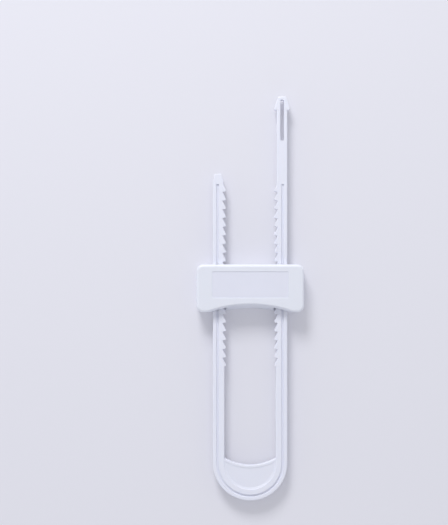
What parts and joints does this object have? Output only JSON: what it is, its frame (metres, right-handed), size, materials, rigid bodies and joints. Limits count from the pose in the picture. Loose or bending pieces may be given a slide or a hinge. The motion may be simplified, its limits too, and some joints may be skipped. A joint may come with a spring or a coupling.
{
  "type": "cabinet safety lock",
  "caption": "White plastic sliding cabinet lock: a U-shaped bar with toothed legs, and a squeeze-release lock block that slides along both legs.",
  "frame": {"origin": "on the surface that the lock lies on, under the middle of its bounding box", "axes": "+Y along the legs from the closed end to their free ends, +Z out of the front of the block, +X across the legs towards the long leg"},
  "size_m": [0.063, 0.235, 0.014],
  "materials": {
    "bar_plastic": "moulded white polypropylene, satin sheen",
    "cover_plastic": "moulded white ABS, satin",
    "button_plastic": "moulded white ABS, fine texture",
    "pawl_acetal": "natural acetal",
    "screw_steel": "zinc-plated steel"
  },
  "bodies": {
    "bar": {"u_bar": "bar_plastic"},
    "block": {"front_cover": "cover_plastic", "rear_cover": "cover_plastic", "left_pawl": "pawl_acetal", "right_pawl": "pawl_acetal", "cover_screws": "screw_steel"},
    "left_release": {"left_button": "button_plastic"},
    "right_release": {"right_button": "button_plastic"}
  },
  "joints": [
    {"name": "block_slide", "type": "slide", "parent": "bar", "child": "block", "axis": [0, 1, 0], "range_m": [-0.0863, 0.0895], "deforming": ["left_pawl", "right_pawl"]},
    {"name": "left_button_press", "type": "slide", "parent": "block", "child": "left_release", "axis": [1, 0, 0], "range_m": [0, 0.002], "stiffness_N_per_m": 2900, "deforming": ["left_pawl"]},
    {"name": "right_button_press", "type": "slide", "parent": "block", "child": "right_release", "axis": [-1, 0, 0], "range_m": [0, 0.002], "stiffness_N_per_m": 2900, "deforming": ["right_pawl"]}
  ]
}
